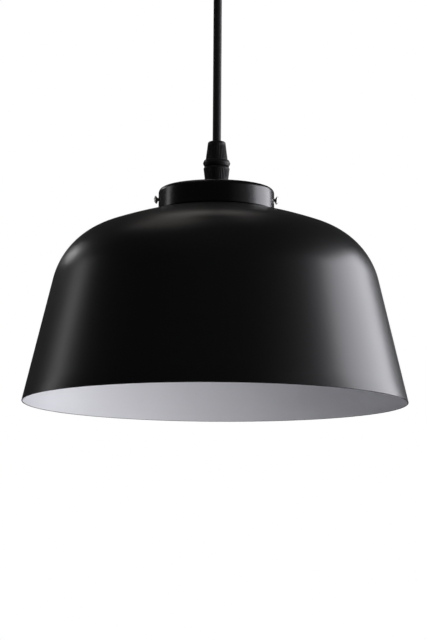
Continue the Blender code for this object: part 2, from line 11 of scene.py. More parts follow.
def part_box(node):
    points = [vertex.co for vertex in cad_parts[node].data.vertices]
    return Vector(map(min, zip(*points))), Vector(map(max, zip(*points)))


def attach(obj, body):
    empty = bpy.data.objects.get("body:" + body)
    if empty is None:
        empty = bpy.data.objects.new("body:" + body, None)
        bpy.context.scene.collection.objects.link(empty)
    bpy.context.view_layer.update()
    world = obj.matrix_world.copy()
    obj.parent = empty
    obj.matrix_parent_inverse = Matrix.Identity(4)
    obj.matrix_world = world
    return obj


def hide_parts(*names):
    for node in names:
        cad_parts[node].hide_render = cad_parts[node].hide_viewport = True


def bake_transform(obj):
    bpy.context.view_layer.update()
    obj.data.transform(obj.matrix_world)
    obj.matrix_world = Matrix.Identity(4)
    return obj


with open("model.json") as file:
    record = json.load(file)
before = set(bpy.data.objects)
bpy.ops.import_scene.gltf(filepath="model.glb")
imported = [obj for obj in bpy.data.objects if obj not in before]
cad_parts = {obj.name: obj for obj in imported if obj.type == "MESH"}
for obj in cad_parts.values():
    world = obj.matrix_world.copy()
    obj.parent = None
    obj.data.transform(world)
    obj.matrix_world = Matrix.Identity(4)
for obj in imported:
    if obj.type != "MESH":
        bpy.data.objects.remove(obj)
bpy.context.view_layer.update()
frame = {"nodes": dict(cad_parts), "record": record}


# ---------------------------------------------------------------- places from the frame
def low(node):
    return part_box(node)[0]


def high(node):
    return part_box(node)[1]


JOINTS = {joint["name"]: joint for joint in frame["record"]["behaviour"]["joints"]}
BODIES = frame["record"]["behaviour"]["bodies"]
BODY_OF = {node: body for body, nodes in BODIES.items() for node in nodes}
SHEET = 0.0008  # thickness of the spun sheet metal
GAP = 0.0003  # air left between pieces that touch
WALL_LEAN = math.radians(13.5)  # the shade's straight wall, from the vertical
RIM = low("shade")[2] + SHEET * math.sin(WALL_LEAN)
RIM_RADIUS = high("shade")[0]
FITTER_TOP = high("fitter_cup")[2]
FITTER_FOOT = low("fitter_cup")[2]
FITTER_RADIUS = high("fitter_cup")[1]
CANOPY_TOP = high("canopy")[2]
CANOPY_FLOOR = low("canopy")[2]
CANOPY_RADIUS = high("canopy")[1]
CORD_RADIUS = high("cord")[0]
SIDE_BEND = JOINTS["swing_side"]["pos_m"][2]
FRONT_BEND = JOINTS["swing_front"]["pos_m"][2]


# ---------------------------------------------------------------- camera
LENS = 139.8  # millimetres
SENSOR = 36  # millimetres, along the view's long side
CAMERA_BACK = 1.9208
CAMERA_BELOW_RIM = 0.1970
CAMERA_SIDE = -0.0016
CAMERA_PITCH = math.radians(7.773)
CAMERA_ROLL = math.radians(-0.40)


def make_camera():
    lens = bpy.data.cameras.new("camera")
    lens.lens = LENS
    lens.sensor_width = SENSOR
    lens.clip_start = 0.05
    lens.clip_end = 60
    camera = bpy.data.objects.new("camera", lens)
    bpy.context.scene.collection.objects.link(camera)
    ahead = Vector((0, math.cos(CAMERA_PITCH), math.sin(CAMERA_PITCH)))
    level = Vector((1, 0, 0))
    above = level.cross(ahead)
    right = math.cos(CAMERA_ROLL) * level - math.sin(CAMERA_ROLL) * above
    up = math.sin(CAMERA_ROLL) * level + math.cos(CAMERA_ROLL) * above
    turn = Matrix((right, up, -ahead)).transposed().to_4x4()
    place = Matrix.Translation((CAMERA_SIDE, -CAMERA_BACK, RIM - CAMERA_BELOW_RIM))
    camera.matrix_world = place @ turn
    bpy.context.scene.camera = camera


make_camera()


# ---------------------------------------------------------------- shader maths
MIX_FIRST, MIX_SECOND, MIX_RESULT = 6, 7, 2  # a Mix node's colour sockets; its others have the same names


class Value:
    """A shader socket that takes part in sums."""

    def __init__(self, finish, socket):
        self.finish = finish
        self.socket = socket

    def maths(self, operation, first, second):
        return self.finish.node("ShaderNodeMath", {"operation": operation}, {0: first, 1: second})

    def __add__(self, other):
        return self.maths("ADD", self, other)

    def __mul__(self, other):
        return self.maths("MULTIPLY", self, other)

    def __gt__(self, other):
        return self.maths("GREATER_THAN", self, other)

    __radd__ = __add__
    __rmul__ = __mul__


class Finish:
    """One material, with its node tree and its shader."""

    def __init__(self, name, colour, roughness, metallic=0.0, **constants):
        self.material = bpy.data.materials.new(name)
        self.material.use_nodes = True
        self.tree = self.material.node_tree
        self.shader = self.tree.nodes["Principled BSDF"]
        self.colour = (*colour, 1.0)
        self.set(Base_Color=self.colour, Roughness=roughness, Metallic=metallic, **constants)
        self.place = self.node("ShaderNodeTexCoord", output="Object")

    def feed(self, socket, value):
        if isinstance(value, Value):
            self.tree.links.new(value.socket, socket)
        else:
            socket.default_value = value

    def set(self, **inputs):
        """Feeds the shader's sockets, which are named with _ for a space."""
        for name, value in inputs.items():
            self.feed(self.shader.inputs[name.replace("_", " ")], value)

    def node(self, kind, settings=None, inputs=None, output=0):
        """A new node. Its settings are made before its sockets are fed."""
        made = self.tree.nodes.new(kind)
        for name, value in (settings or {}).items():
            setattr(made, name, value)
        for name, value in (inputs or {}).items():
            self.feed(made.inputs[name], value)
        return Value(self, made.outputs[output])

    def noise(self, scale, detail=2.0, stretch=None):
        """Soft noise from 0 to 1. stretch scales the pattern's three directions."""
        place = self.place
        if stretch:
            sockets = {"Vector": self.place, "Scale": stretch}
            place = self.node("ShaderNodeMapping", {"vector_type": "POINT"}, sockets)
        return self.node("ShaderNodeTexNoise", None, {"Vector": place, "Scale": scale, "Detail": detail})

    def mix(self, factor, first, second):
        """A colour between two colours."""
        return self.node(
            "ShaderNodeMix",
            {"data_type": "RGBA", "clamp_factor": True},
            {0: factor, MIX_FIRST: first, MIX_SECOND: second},
            MIX_RESULT,
        )

    def tint(self, factor, shade):
        """Base colour that goes from the finish's own to its own times shade where factor is 1."""
        darker = tuple(min(1.0, part * shade) for part in self.colour[:3])
        self.set(Base_Color=self.mix(factor, self.colour, (*darker, 1.0)))

    def bump(self, height, strength, distance):
        sockets = {"Strength": strength, "Distance": distance, "Height": height}
        self.set(Normal=self.node("ShaderNodeBump", None, sockets, "Normal"))
        return self


# ---------------------------------------------------------------- finishes
def satin_enamel():
    """Baked satin black: a faint orange peel and slow changes of sheen."""
    made = Finish("satin_black_enamel", (0.0036, 0.0036, 0.0038), 0.32)
    cloud = made.noise(14, 3)
    peel = made.noise(850, 2)
    made.set(Roughness=0.295 + cloud * 0.05)
    made.tint(cloud * 0.6, 0.8)
    return made.bump(peel, 0.06, 0.0002).material


def white_enamel():
    made = Finish("white_enamel", (0.81, 0.81, 0.85), 0.42)
    cloud = made.noise(18, 3)
    made.set(Roughness=0.38 + cloud * 0.08)
    made.tint(cloud * 0.5, 0.96)
    return made.bump(made.noise(700, 2), 0.05, 0.0002).material


def gloss_enamel():
    """Gloss black over fine rings left by drawing the cup."""
    made = Finish("gloss_black_enamel", (0.0018, 0.0018, 0.0021), 0.25)
    rings = made.noise(1.0, 2, (60, 60, 2600))
    cloud = made.noise(30, 2)
    made.set(Roughness=0.22 + cloud * 0.06)
    made.tint(cloud, 0.8)
    return made.bump(rings, 0.25, 0.0002).material


def moulded_plastic(name, colour, roughness, grain=0.10, gloss=0.5):
    """Injection-moulded plastic with a fine spark texture."""
    made = Finish(name, colour, roughness, Specular_IOR_Level=gloss)
    cloud = made.noise(60, 3)
    made.set(Roughness=roughness - 0.04 + cloud * 0.08)
    made.tint(cloud, 0.86)
    return made.bump(made.noise(2600, 2), grain, 0.0001).material


def cord_sheath():
    """Smooth PVC with the faint long waves that the cores give it."""
    made = Finish("cord_sheath", (0.0105, 0.0105, 0.0110), 0.56, Specular_IOR_Level=0.32)
    wave = made.noise(1.0, 2, (260, 260, 45))
    made.set(Roughness=0.52 + wave * 0.08)
    made.tint(wave, 0.8)
    return made.bump(wave + made.noise(1800, 1) * 0.2, 0.15, 0.0003).material


def rubber():
    made = Finish("black_rubber", (0.018, 0.018, 0.018), 0.78)
    cloud = made.noise(120, 3)
    made.tint(cloud, 0.7)
    return made.bump(made.noise(1500, 3), 0.3, 0.0002).material


def plated_metal(name, colour, roughness, scratches=0.10, metallic=1.0):
    """Plated metal: cloudy sheen with fine turned or drawn lines."""
    made = Finish(name, colour, roughness, metallic)
    cloud = made.noise(180, 3)
    lines = made.noise(1.0, 2, (400, 400, 4000))
    made.set(Roughness=roughness - 0.04 + cloud * 0.10)
    made.tint(cloud, 0.82)
    return made.bump(lines, scratches, 0.0001).material


def ceramic():
    made = Finish("steatite", (0.80, 0.78, 0.72), 0.38)
    cloud = made.noise(90, 4)
    made.tint(cloud, 0.92)
    made.set(Roughness=0.34 + cloud * 0.12)
    return made.bump(made.noise(1200, 3), 0.12, 0.0002).material


def opal_plastic():
    made = Finish("opal_diffuser", (0.88, 0.88, 0.86), 0.34)
    cloud = made.noise(45, 2)
    made.set(Roughness=0.31 + cloud * 0.07)
    made.tint(cloud, 0.97)
    return made.bump(made.noise(1500, 2), 0.04, 0.0001).material


def striped_core():
    """Green insulation with yellow streaks along it."""
    made = Finish("earth_core", (0.07, 0.30, 0.05), 0.42)
    stripe = made.noise(1.0, 0, (700, 700, 90)) > 0.52
    made.set(Base_Color=made.mix(stripe, made.colour, (0.72, 0.62, 0.04, 1.0)))
    return made.bump(made.noise(2400, 2), 0.08, 0.0001).material


WHITE = white_enamel()
FINISHES = {
    "satin_enamel": satin_enamel(),
    "gloss_enamel": gloss_enamel(),
    "black_plastic": moulded_plastic("grip_plastic", (0.0065, 0.0065, 0.0068), 0.48, 0.12, 0.30),
    "cord_sheath": cord_sheath(),
    "rubber": rubber(),
    "zinc": plated_metal("zinc_plate", (0.62, 0.62, 0.60), 0.42, metallic=0.7),
    "nickel": plated_metal("bright_nickel", (0.84, 0.83, 0.80), 0.40, 0.05),
    "brass": plated_metal("brass", (0.70, 0.50, 0.22), 0.26),
    "ceramic": ceramic(),
    "nylon": moulded_plastic("natural_nylon", (0.76, 0.75, 0.68), 0.48),
    "white_plastic": moulded_plastic("bulb_housing_white", (0.84, 0.84, 0.83), 0.36, 0.05),
    "opal": opal_plastic(),
    "black_glass": moulded_plastic("black_glass", (0.012, 0.012, 0.015), 0.14, 0.02),
    "core_brown": moulded_plastic("brown_core", (0.17, 0.07, 0.03), 0.42, 0.05),
    "core_blue": moulded_plastic("blue_core", (0.03, 0.11, 0.42), 0.42, 0.05),
    "core_green": striped_core(),
}


# ---------------------------------------------------------------- shapes
TINY = 1e-9
NEARLY_STRAIGHT = math.radians(88)  # half the angle of a corner that is too flat to round
EDGE_SHARE = 0.49  # the most of an edge that the rounding of one corner takes
ON_AXIS = 1e-7
SLACK = 1e-6  # the error that a point's radius may have
SKIN = 1e-5  # the layer that holds a wall's points
RIB_CURVE = 0.7  # below 1, the ribs are broad and the grooves between them narrow
ROWS_PER_TURN = 8  # rings of points in a wall for each turn of its thread


def link(name, mesh, finishes):
    made = bpy.data.objects.new(name, mesh)
    bpy.context.scene.collection.objects.link(made)
    for finish in finishes:
        mesh.materials.append(finish)
    return made


def finished(node, shape, slot, extra=(), sharp=32):
    """The fine piece that stands for one CAD node, on that node's body, with the finish of its slot."""
    mesh = bpy.data.meshes.new(node + "_finished")
    shape.to_mesh(mesh)
    shape.free()
    piece = link(node + "_finished", mesh, [FINISHES[slot], *extra])
    mesh.shade_smooth()
    mesh.set_sharp_from_angle(angle=math.radians(sharp))
    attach(piece, BODY_OF[node])
    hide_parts(node)


def rounded(corners, steps):
    """An outline with its corners, (x, y, radius) each, rounded. A corner with no radius stays sharp."""
    made = []
    count = len(corners)
    for i, (x, y, radius) in enumerate(corners):
        here = Vector((x, y))
        before = Vector(corners[i - 1][:2]) - here
        after = Vector(corners[(i + 1) % count][:2]) - here
        if radius <= 0 or before.length < TINY or after.length < TINY:
            made.append((x, y))
            continue
        half = before.angle(after) / 2
        if half > NEARLY_STRAIGHT:
            made.append((x, y))
            continue
        longest = min(before.length, after.length) * EDGE_SHARE
        reach = min(radius / math.tan(half), longest)
        size = reach * math.tan(half)
        start = here + before.normalized() * reach
        end = here + after.normalized() * reach
        inwards = (before.normalized() + after.normalized()).normalized()
        centre = here + inwards * (size / math.sin(half))
        first, last = start - centre, end - centre
        sweep = first.angle_signed(last)
        for k in range(steps + 1):
            made.append(tuple(centre + Matrix.Rotation(-sweep * k / steps, 2) @ first))
    return made


def spin_outline(outline, steps, closed):
    """A bmesh from (radius, height) points that are spun a full turn about the lamp's axis."""
    shape = bmesh.new()
    corners = [shape.verts.new((r, 0, z)) for r, z in outline]
    pairs = list(zip(corners, corners[1:]))
    if closed:
        pairs.append((corners[-1], corners[0]))
    edges = [shape.edges.new(pair) for pair in pairs]
    bmesh.ops.spin(
        shape,
        geom=corners + edges,
        cent=(0, 0, 0),
        axis=(0, 0, 1),
        angle=2 * math.pi,
        steps=steps,
        use_merge=True,
        use_duplicate=False,
    )
    return shape


def sealed(shape, distance=0.000002):
    """Joins the points that lie together, and turns the faces outwards."""
    bmesh.ops.remove_doubles(shape, verts=shape.verts, dist=distance)
    bmesh.ops.dissolve_degenerate(shape, edges=shape.edges, dist=distance / 2)
    bmesh.ops.recalc_face_normals(shape, faces=shape.faces)
    return shape


def turned(outline, steps):
    """A closed turned solid. An outline that starts and ends on the axis isn't joined along it."""
    on_axis = outline[0][0] < ON_AXIS and outline[-1][0] < ON_AXIS
    return sealed(spin_outline(outline, steps, closed=not on_axis))


def placed(outline, face, way=1):
    """An outline of (radius, height) points moved to its place. way is -1 for one that is upside down."""
    return [(r, face + way * height) for r, height in outline]


def run(start, end, count):
    """Points from start up to but without end, for a wall that is shaped after it is spun."""
    (r0, z0), (r1, z1) = start, end
    return [(r0 + (r1 - r0) * i / count, z0 + (z1 - z0) * i / count) for i in range(count)]


def reshape(shape, change):
    """Moves each vertex outwards by change(radius, angle, height)."""
    for vertex in shape.verts:
        x, y, z = vertex.co
        radius = math.hypot(x, y)
        if radius > SLACK:
            grown = 1 + change(radius, math.atan2(y, x), z) / radius
            vertex.co.x *= grown
            vertex.co.y *= grown
    return shape


def between(start, end, soft, value):
    """1 between start and end, easing to 0 over soft inside each of them."""
    start, end = min(start, end), max(start, end)
    return smoothstep(start, start + soft, value) * (1 - smoothstep(end - soft, end, value))


def cut_thread(shape, pitch, depth, start, end, crest, root, soft=None):
    """A right-handed thread in the wall between two radii, in step with every thread of its pitch."""
    inner, outer = min(crest, root), max(crest, root)
    sign = -1 if crest > root else 1

    def change(radius, angle, z):
        if not inner - SLACK <= radius <= outer + SLACK:
            return 0
        phase = (z / pitch - angle / (2 * math.pi)) % 1
        groove = 0.5 - 0.5 * math.cos(2 * math.pi * phase)
        return sign * depth * groove * between(start, end, soft or pitch / 2, z)

    return reshape(shape, change)


def cut_ribs(shape, count, depth, start, end, least_radius, soft=0.0006):
    """Rounded grooves down a wall, with ribs between them."""

    def change(radius, angle, z):
        if radius < least_radius:
            return 0
        groove = abs(math.sin(count * angle / 2)) ** RIB_CURVE
        return -depth * (1 - groove) * between(start, end, soft, z)

    return reshape(shape, change)


def flat(outline, thickness, bevel=0.0):
    """A plate of an (x, y) outline, centred on its thickness, with its edges bevelled."""
    shape = bmesh.new()
    corners = [shape.verts.new((x, y, -thickness / 2)) for x, y in outline]
    face = shape.faces.new(corners)
    grown = bmesh.ops.extrude_face_region(shape, geom=[face])
    tops = [item for item in grown["geom"] if isinstance(item, bmesh.types.BMVert)]
    bmesh.ops.translate(shape, verts=tops, vec=(0, 0, thickness))
    bmesh.ops.recalc_face_normals(shape, faces=shape.faces)
    if bevel:
        soften(shape, shape.edges, bevel)
    return shape


def soften(shape, edges, width, segments=2):
    bmesh.ops.bevel(
        shape,
        geom=list(edges),
        offset=width,
        offset_type="OFFSET",
        affect="EDGES",
        segments=segments,
        profile=0.5,
        material=-1,
        clamp_overlap=True,
    )


def sharp_edges(shape, angle=40):
    limit = math.radians(angle)
    inner = [edge for edge in shape.edges if len(edge.link_faces) == 2]
    return [edge for edge in inner if edge.calc_face_angle() > limit]


def block(size, bevel=0.0, segments=2):
    shape = bmesh.new()
    bmesh.ops.create_cube(shape, size=1)
    bmesh.ops.scale(shape, verts=shape.verts, vec=size)
    if bevel:
        soften(shape, shape.edges, bevel, segments)
    return shape


def drum(radius, depth, sides):
    """A cylinder along Z, centred on the origin, used to make holes."""
    shape = bmesh.new()
    bmesh.ops.create_cone(
        shape,
        cap_ends=True,
        cap_tris=False,
        segments=sides,
        radius1=radius,
        radius2=radius,
        depth=depth,
    )
    return shape


def moved(shape, matrix):
    bmesh.ops.transform(shape, matrix=matrix, verts=shape.verts)
    return shape


def carve(shape, *tools):
    """A shape with the tools, which are bmeshes too, cut out of it."""
    solid = temporary(shape)
    for tool in tools:
        knife = temporary(tool)
        cutting = solid.modifiers.new("cut", "BOOLEAN")
        cutting.operation = "DIFFERENCE"
        cutting.solver = "EXACT"
        cutting.object = knife
    bpy.context.view_layer.update()
    graph = bpy.context.evaluated_depsgraph_get()
    result = bmesh.new()
    mesh = bpy.data.meshes.new_from_object(solid.evaluated_get(graph))
    result.from_mesh(mesh)
    used = [modifier.object for modifier in solid.modifiers]
    for thing in [solid, *used]:
        bpy.data.objects.remove(thing, do_unlink=True)
    return result


def temporary(shape):
    mesh = bpy.data.meshes.new("shaping")
    shape.to_mesh(mesh)
    shape.free()
    thing = bpy.data.objects.new("shaping", mesh)
    bpy.context.scene.collection.objects.link(thing)
    return thing


def facing(direction, place):
    """A placing that turns +Z to direction, with place as the origin."""
    turn = Vector(direction).to_track_quat("Z", "Y").to_matrix().to_4x4()
    return Matrix.Translation(place) @ turn


def smoothstep(low_end, high_end, value):
    t = min(1.0, max(0.0, (value - low_end) / (high_end - low_end)))
    return t * t * (3 - 2 * t)


# ---------------------------------------------------------------- flex
FLEX_RINGS = 40
FLEX_SIDES = 32


def make_flex(name, top, bottom, start, end, stands_for):
    """A straight length of flex down the axis from top to bottom; start and end are not used."""
    levels = [top + (bottom - top) * i / FLEX_RINGS for i in range(FLEX_RINGS + 1)]
    outline = [(0, top), *[(CORD_RADIUS, z) for z in levels], (0, bottom)]
    mesh = bpy.data.meshes.new(name)
    shape = turned(outline, FLEX_SIDES)
    shape.to_mesh(mesh)
    shape.free()
    piece = link(name, mesh, [FINISHES["cord_sheath"]])
    mesh.shade_smooth()
    mesh.set_sharp_from_angle(angle=math.radians(40))
    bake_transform(piece)
    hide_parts(*stands_for)
    abs(top - bottom)


BEND_REACH = 0.0085  # a reach above and below each pivot, passed to make_flex as start and end
FLEX_MIDDLE = (SIDE_BEND + FRONT_BEND) / 2
make_flex(
    "flex_upper",
    high("cord_top")[2],
    FLEX_MIDDLE,
    SIDE_BEND + BEND_REACH,
    SIDE_BEND - BEND_REACH,
    ["cord_top"],
)
make_flex(
    "flex_lower",
    FLEX_MIDDLE,
    low("cord")[2],
    FRONT_BEND + BEND_REACH,
    FRONT_BEND - BEND_REACH,
    ["cord_bend", "cord"],
)


# ---------------------------------------------------------------- shade
NECK_RADIUS = 0.0395
NECK_BEND = 0.0010
CROWN = RIM + 0.1507  # the crown's height at the fitter's edge
LIP = CROWN + 0.0145
LIP_WIDTH = 0.0018
CROWN_TURN = (0.375, math.radians(13), math.radians(20), 8)  # radius, slopes at its ends, steps
SHOULDER_TURN = (0.060, math.radians(20), math.pi / 2 - WALL_LEAN, 24)
RIM_ROUND = SHEET * 0.4  # how far up the wall its rounded edge starts
WALL_STEPS = 8
EDGE_STEPS = 6
SHADE_STEPS = 216


def shade_outline():
    """The outer face, from the neck's turned-out lip down to the rim."""
    foot = CROWN + (FITTER_RADIUS - NECK_RADIUS) * math.tan(CROWN_TURN[1])
    corner = (NECK_RADIUS, foot, NECK_BEND)
    lip = [(NECK_RADIUS + LIP_WIDTH, LIP, 0), (NECK_RADIUS, LIP - 0.0002, LIP_WIDTH * 0.9)]
    crown_start = (FITTER_RADIUS, CROWN, 0)
    points = rounded([*lip, corner, crown_start], 5)
    r, z = crown_start[:2]
    for radius, start, end, count in (CROWN_TURN, SHOULDER_TURN):
        for i in range(1, count + 1):
            before = start + (end - start) * (i - 1) / count
            after = start + (end - start) * i / count
            r += radius * (math.sin(after) - math.sin(before))
            z -= radius * (math.cos(before) - math.cos(after))
            points.append((r, z))
    end_radius = RIM_RADIUS - RIM_ROUND * math.sin(WALL_LEAN)
    end = (end_radius, RIM + RIM_ROUND * math.cos(WALL_LEAN))
    return [*points, *run((r, z), end, WALL_STEPS)[1:], end]


def wall_of(outline, thickness):
    """A closed outline: an outer face, its inner face, and a rounded edge at the end."""
    inner = []
    for i, (r, z) in enumerate(outline):
        before = Vector(outline[max(i - 1, 0)])
        after = Vector(outline[min(i + 1, len(outline) - 1)])
        along = (after - before).normalized()
        inner.append(Vector((r, z)) + Vector((along.y, -along.x)) * thickness)
    middle = (Vector(outline[-1]) + inner[-1]) / 2
    across = Vector(outline[-1]) - middle
    turns = [Matrix.Rotation(-math.pi * k / EDGE_STEPS, 2) for k in range(1, EDGE_STEPS)]
    edge = [tuple(middle + turn @ across) for turn in turns]
    return [*outline, *edge, *[tuple(point) for point in reversed(inner)]]


def make_shade():
    """The spun bell, white inside down to its edge."""
    shape = turned(wall_of(shade_outline(), SHEET), SHADE_STEPS)
    edge = RIM + SHEET
    for face in shape.faces:
        centre = face.calc_center_median()
        outward = face.normal.x * centre.x + face.normal.y * centre.y
        facing_in = outward / math.hypot(centre.x, centre.y) + face.normal.z < 0
        face.material_index = 1 if facing_in and centre.z > edge else 0
    finished("shade", shape, "satin_enamel", [WHITE])


make_shade()


# ---------------------------------------------------------------- cups
CUP_CORNER = 0.0038
CUP_EDGE = 0.00025
CENTRE_HOLE = 0.0053
SIDE_HOLE = 0.0021
HOLE_TOOL = 0.006  # length of the drums that make holes in sheet
SCREW_TILT = math.radians(8.5)
FITTER_SCREW_Z = FITTER_TOP - 0.0083
CANOPY_SCREW_Z = -0.0125
SIDES = ((-1, "left"), (1, "right"))


def side_direction(side, tilt):
    return Vector((side * math.cos(tilt), 0, -math.sin(tilt)))


def make_cup(node, radius, face, mouth, screw_z, tilt):
    """A drawn cup: its face has the centre hole, and its wall has a hole at each side."""
    depth = abs(mouth - face)
    outline = rounded(
        [
            (CENTRE_HOLE, 0, CUP_EDGE),
            (radius, 0, CUP_CORNER),
            (radius, depth, CUP_EDGE),
            (radius - SHEET, depth, CUP_EDGE),
            (radius - SHEET, SHEET, CUP_CORNER - SHEET),
            (CENTRE_HOLE, SHEET, CUP_EDGE),
        ],
        7,
    )
    shape = turned(placed(outline, face, 1 if mouth > face else -1), 192)
    holes = []
    for side, _ in SIDES:
        place = facing(side_direction(side, tilt), (side * radius, 0, screw_z))
        holes.append(moved(drum(SIDE_HOLE, HOLE_TOOL, 32), place))
    finished(node, carve(shape, *holes), "gloss_enamel")


make_cup("fitter_cup", FITTER_RADIUS, FITTER_TOP, FITTER_FOOT, FITTER_SCREW_Z, SCREW_TILT)
make_cup("canopy", CANOPY_RADIUS, CANOPY_FLOOR, CANOPY_TOP, CANOPY_SCREW_Z, 0.0)


# ---------------------------------------------------------------- screws and nuts
SCREW_PITCH = 0.0005
SCREW_THREAD = SCREW_PITCH * 0.55  # depth of the thread
RECESS_WIDTH = 0.42  # of the recess's radius
RECESS_TAPER = (0.55, 0.6)  # how much of its length and width is left at its bottom
SIDE_SHANK = 0.0013
SIDE_RECESS = (0.0015, 0.0014)  # radius and depth
NUT_BORE = 0.0052
SIDE_HEAD = (
    (0, 0.0036),
    (0.0012, 0.0035),
    (0.0022, 0.0031),
    (0.0029, 0.0026),
    (0.0033, 0.0021),
    (0.00325, 0.0018),
    (0.0022, 0.0011),
    (SIDE_SHANK, 0.0007),
)


def cross_recess(radius, depth):
    """Two crossed tapered blades, to be cut into a head whose top is at the origin."""
    blades = []
    for angle in (0, math.pi / 2):
        blade = block((2 * radius, radius * RECESS_WIDTH, 2 * depth))
        for vertex in blade.verts:
            if vertex.co.z < 0:
                vertex.co.x *= RECESS_TAPER[0]
                vertex.co.y *= RECESS_TAPER[1]
        blades.append(moved(blade, Matrix.Rotation(angle, 4, "Z")))
    return blades


def slot_recess(radius, width, depth):
    """A straight slot right across a head."""
    return [block((2.4 * radius, width, 2 * depth))]


def screw_shape(head, shank_radius, length, recess, steps=48):
    """A screw along +Z. head runs from the axis at its top to the shank, and recess is cut into its top."""
    rows = max(ROWS_PER_TURN, round(length / SCREW_PITCH * ROWS_PER_TURN))
    foot = head[-1][1]
    shank_end = (shank_radius, -length + SCREW_THREAD)
    shank = run((shank_radius, foot), shank_end, rows)
    tip = [shank_end, (shank_radius - SCREW_THREAD, -length), (0, -length)]
    shape = turned([*head, *shank, *tip], steps)
    limits = (-length - SCREW_PITCH, foot - GAP)
    cut_thread(shape, SCREW_PITCH, SCREW_THREAD, *limits, shank_radius, shank_radius - SKIN)
    top = Matrix.Translation((0, 0, head[0][1]))
    return carve(shape, *[moved(tool, top) for tool in recess])


def make_side_screws():
    for side, word in SIDES:
        for node, radius, z, tilt, length in (
            ("fitter_screw_" + word, FITTER_RADIUS, FITTER_SCREW_Z, SCREW_TILT, 0.0052),
            ("canopy_screw_" + word, CANOPY_RADIUS, CANOPY_SCREW_Z, 0.0, 0.0054),
        ):
            shape = screw_shape(SIDE_HEAD, SIDE_SHANK, length, cross_recess(*SIDE_RECESS))
            moved(shape, facing(side_direction(side, tilt), (side * radius, 0, z)))
            finished(node, shape, "nickel")


def small_screw(node, place, head_radius, head_height, shank_radius, length, direction=(0, 0, 1)):
    """A slotted cheese-head screw of brass, with the underside of its head at place."""
    foot_edge = 0.0001
    corners = [
        (0, head_height, 0),
        (head_radius, head_height, head_height * 0.35),
        (head_radius, 0, foot_edge),
    ]
    head = [*rounded(corners, 4)[:-1], (head_radius - foot_edge, 0), (shank_radius, 0)]
    recess = slot_recess(head_radius, head_radius * 0.3, head_height * 0.5)
    shape = screw_shape(head, shank_radius, length, recess)
    finished(node, moved(shape, facing(direction, place)), "brass")


def make_square_nuts():
    """The nuts behind the fitter's wall, which its side screws run in."""
    half, bore, thickness, depth = 0.0030, 0.00155, 0.0014, 0.0026
    corners = [(-half, -half), (half, -half), (half, half), (-half, half)]
    for side, word in SIDES:
        direction = side_direction(side, SCREW_TILT)
        shape = carve(flat(corners, thickness, 0.0002), drum(bore, 0.004, 32))
        bore_edges = [edge for edge in sharp_edges(shape) if edge.calc_length() < 0.001]
        soften(shape, bore_edges, 0.00012, 1)
        place = Vector((side * FITTER_RADIUS, 0, FITTER_SCREW_Z)) - direction * depth
        finished("fitter_nut_" + word, moved(shape, facing(direction, place)), "zinc")


def hex_radius(half_width, angle):
    """How far a hexagon's side is from its middle at an angle."""
    return half_width / math.cos((angle + math.pi / 6) % (math.pi / 3) - math.pi / 6)


def make_hex_nut(node, bore, half_width, bottom, top):
    """A chamfered hexagon nut: a turned ring whose wall is drawn out to six flats."""
    corner = half_width / math.cos(math.pi / 6)
    face = half_width * 0.96  # the radius inside the chamfer
    chamfer = (corner - face) * math.tan(math.radians(30))
    edge = 0.0004  # the bore's own chamfer
    first_row = (half_width, bottom + SKIN)
    rows = run((half_width, bottom + 2 * SKIN), (half_width, top - 2 * SKIN), 24)
    outline = [
        (bore + edge, bottom),
        (face, bottom),
        first_row,
        *rows,
        (half_width, top - SKIN),
        (face, top),
        (bore + edge, top),
        *run((bore, top - edge), (bore, bottom + edge), 16),
        (bore, bottom + edge),
    ]
    shape = turned(outline, 144)

    def change(radius, angle, z):
        if radius < half_width * 0.98:
            return 0
        inside = min(z - bottom, top - z)
        limit = face + (corner - face) * min(1.0, inside / chamfer)
        return min(hex_radius(half_width, angle), limit) - radius

    finished(node, reshape(shape, change), "zinc", sharp=25)


def make_star_washer(node, hole, radius, bottom, top):
    """A lock washer with twelve twisted teeth."""
    teeth, tooth, twist, edge = 12, 0.6, 0.0003, 0.0001
    thickness = 0.0005
    lower, upper = (bottom + top - thickness) / 2, (bottom + top + thickness) / 2
    rim = radius - 0.0016
    corners = [
        (hole, lower, edge),
        (rim, lower, 0),
        (radius, lower, edge),
        (radius, upper, edge),
        (rim, upper, 0),
        (hole, upper, edge),
    ]
    shape = turned(rounded(corners, 2), 144)
    for vertex in shape.verts:
        x, y, z = vertex.co
        reach = math.hypot(x, y)
        if reach > rim + SKIN:
            phase = (math.atan2(y, x) / (2 * math.pi) * teeth) % 1
            if phase > tooth:
                scale = (rim + 0.0002) / reach
                vertex.co.x *= scale
                vertex.co.y *= scale
            else:
                vertex.co.z += (phase / tooth - 0.5) * twist
    finished(node, sealed(shape, 0.00001), "zinc", sharp=40)


def make_nipple(node):
    """The hollow M10x1 tube that goes through a cup."""
    bottom, top = low(node)[2], high(node)[2]
    outer, bore, pitch, thread = 0.0050, 0.00365, 0.0010, 0.0005
    rows = round((top - bottom) / pitch * ROWS_PER_TURN)
    outline = [
        (bore, top),
        (outer - thread, top),
        *run((outer, top - thread), (outer, bottom + thread), rows),
        (outer, bottom + thread),
        (outer - thread, bottom),
        (bore, bottom),
        (bore - 0.0001, bottom + 0.0003),
        (bore - 0.0001, top - 0.0003),
    ]
    shape = turned(outline, 48)
    cut_thread(shape, pitch, thread, bottom - pitch, top + pitch, outer, outer - SKIN)
    finished(node, shape, "zinc", sharp=50)


def make_cup_fastenings():
    """Each cup's threaded tube, with the washer and nut that hold it."""
    for cup in ("upper", "lower"):
        make_nipple(cup + "_nipple")
        washer, nut = cup + "_star_washer", cup + "_lock_nut"
        make_star_washer(washer, CENTRE_HOLE, high(washer)[0], low(washer)[2], high(washer)[2])
        make_hex_nut(nut, NUT_BORE, high(nut)[1], low(nut)[2], high(nut)[2])


make_side_screws()
make_square_nuts()
make_cup_fastenings()


